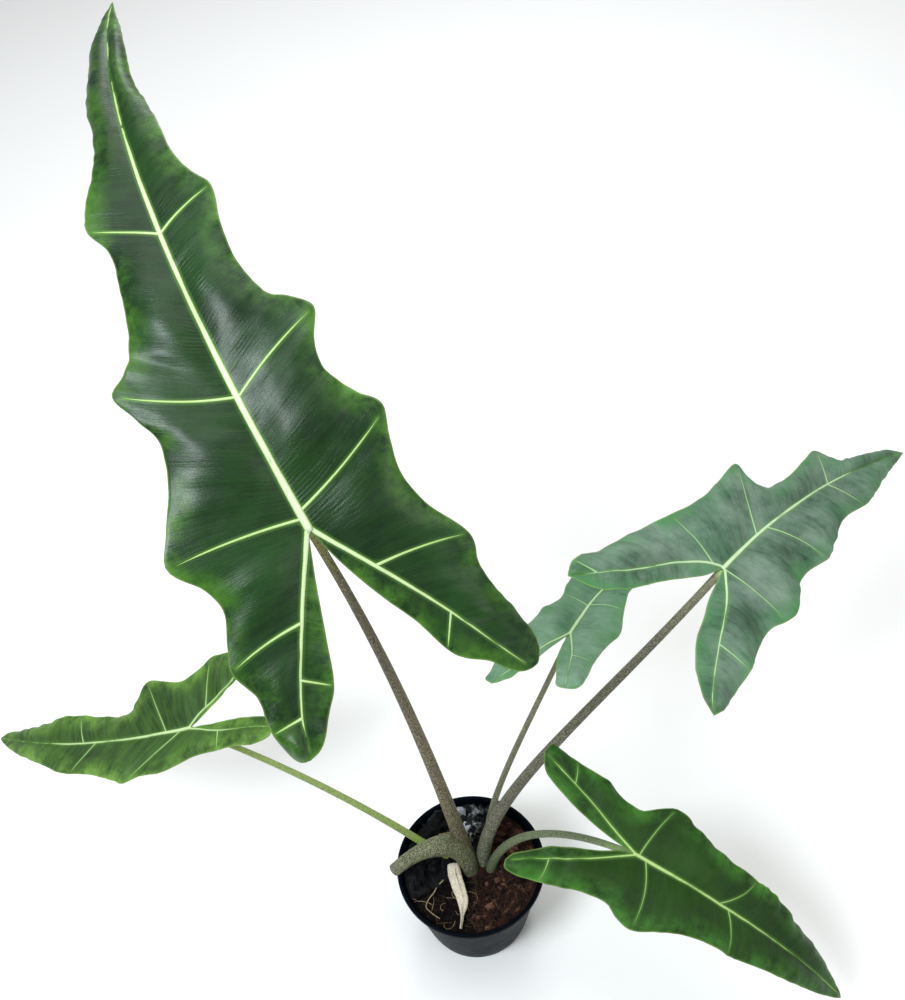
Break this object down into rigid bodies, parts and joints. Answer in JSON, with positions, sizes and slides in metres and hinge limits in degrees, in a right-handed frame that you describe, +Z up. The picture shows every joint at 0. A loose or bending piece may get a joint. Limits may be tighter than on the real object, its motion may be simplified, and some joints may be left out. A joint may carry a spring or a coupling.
{
  "type": "potted sarian alocasia",
  "caption": "Potted alocasia with long arrow-shaped, lobed and waved leaves on mottled stalks, in a thin black nursery pot with charcoal and husk mix.",
  "frame": {"origin": "middle of the pot's flat underside", "axes": "+Z up, -Y towards the side that the picture shows as the front, +X to the right of it"},
  "size_m": [0.8411, 0.5979, 0.6889],
  "materials": {
    "pot_plastic": "satin",
    "growing_mix": "rough",
    "charcoal": "rough",
    "husk": "rough",
    "corm": "rough",
    "stalk_brown": "satin",
    "stalk_green": "satin",
    "dried_sheath": "matte",
    "root": "matte",
    "blade_dark": "glossy",
    "blade_grey": "satin",
    "blade_green": "satin",
    "rib": "satin"
  },
  "bodies": {
    "root": {"pot": "pot_plastic", "growing_mix": "growing_mix", "charcoal": "charcoal", "husk": "husk", "corm": "corm", "stalk_a": "stalk_brown", "stalk_b": "stalk_brown", "stalk_c": "stalk_green", "stalk_d": "stalk_green", "stalk_e": "stalk_green", "pruned_stalk": "stalk_green", "cataphyll": "stalk_green", "dried_sheath": "dried_sheath", "surface_root": "root", "blade_a": "blade_dark", "ribs_a": "rib", "blade_b": "blade_grey", "ribs_b": "rib", "blade_c": "blade_grey", "ribs_c": "rib", "blade_d": "blade_green", "ribs_d": "rib", "blade_e": "blade_green", "ribs_e": "rib"}
  },
  "joints": []
}
